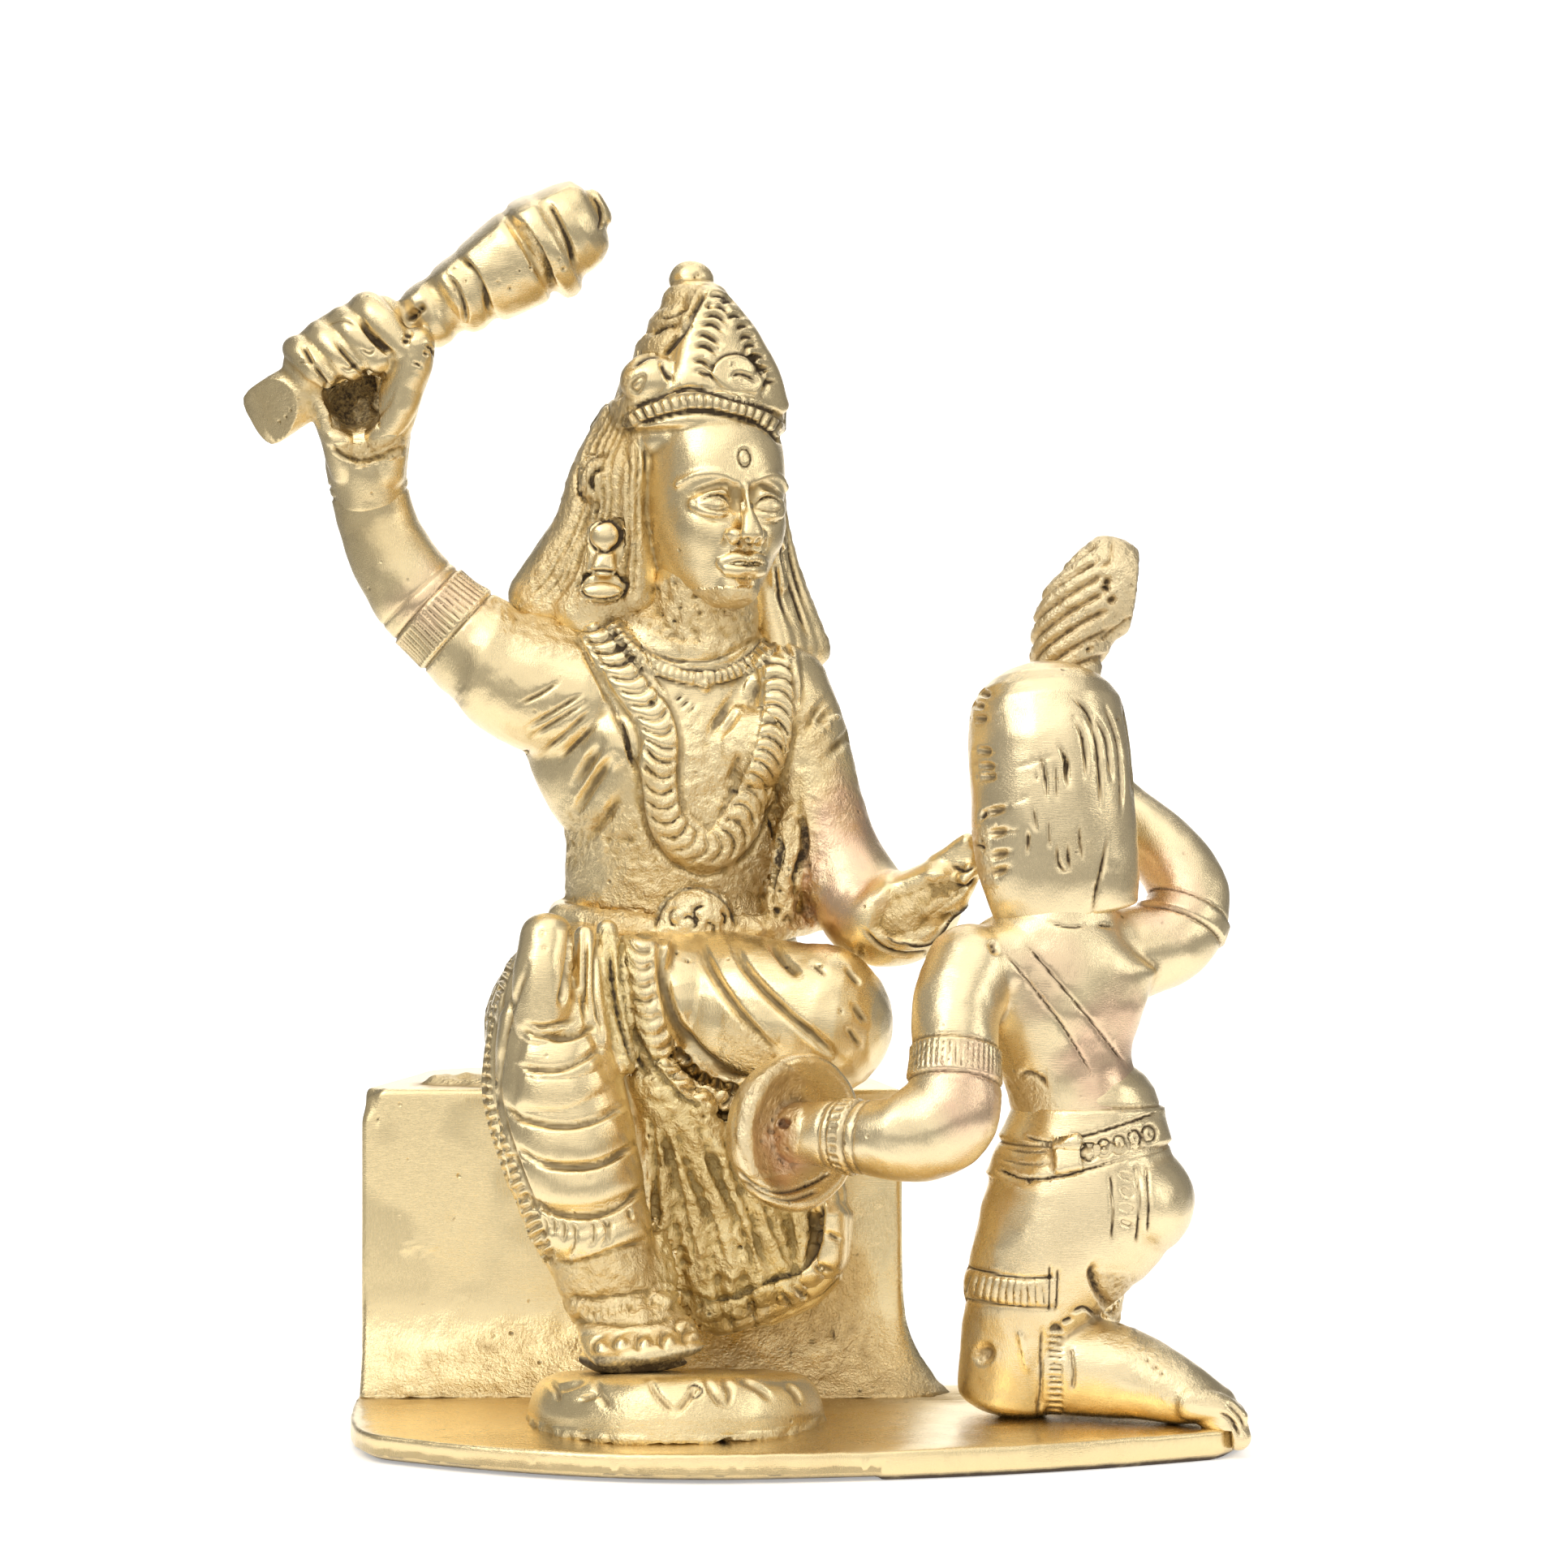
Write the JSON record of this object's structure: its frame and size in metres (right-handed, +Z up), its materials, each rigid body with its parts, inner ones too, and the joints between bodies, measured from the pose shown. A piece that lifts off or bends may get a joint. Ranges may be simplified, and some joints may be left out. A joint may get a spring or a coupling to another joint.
{
  "type": "baglamukhi idol",
  "caption": "Cast brass shrine figure: seated goddess with raised club seizes the tongue of a kneeling demon, on a plate with box seat and round footrest.",
  "frame": {"origin": "underside of the base, on the line below the seat's front face, in the middle of the base's width", "axes": "+X to the demon's side, +Y from the open front towards the back of the seat, +Z up"},
  "size_m": [0.1087, 0.0715, 0.1355],
  "materials": {
    "base_brass": "file-brushed and polished, sand-cast grain left low down and in the corners",
    "goddess_brass": "hand polished high spots, ochre and brown sand-cast grain in the recesses",
    "demon_brass": "hand polished, a little pinker on the back and elbow, dark dirt in the cuts"
  },
  "bodies": {
    "root": {"base": "base_brass", "goddess": "goddess_brass", "demon": "demon_brass"}
  },
  "joints": []
}
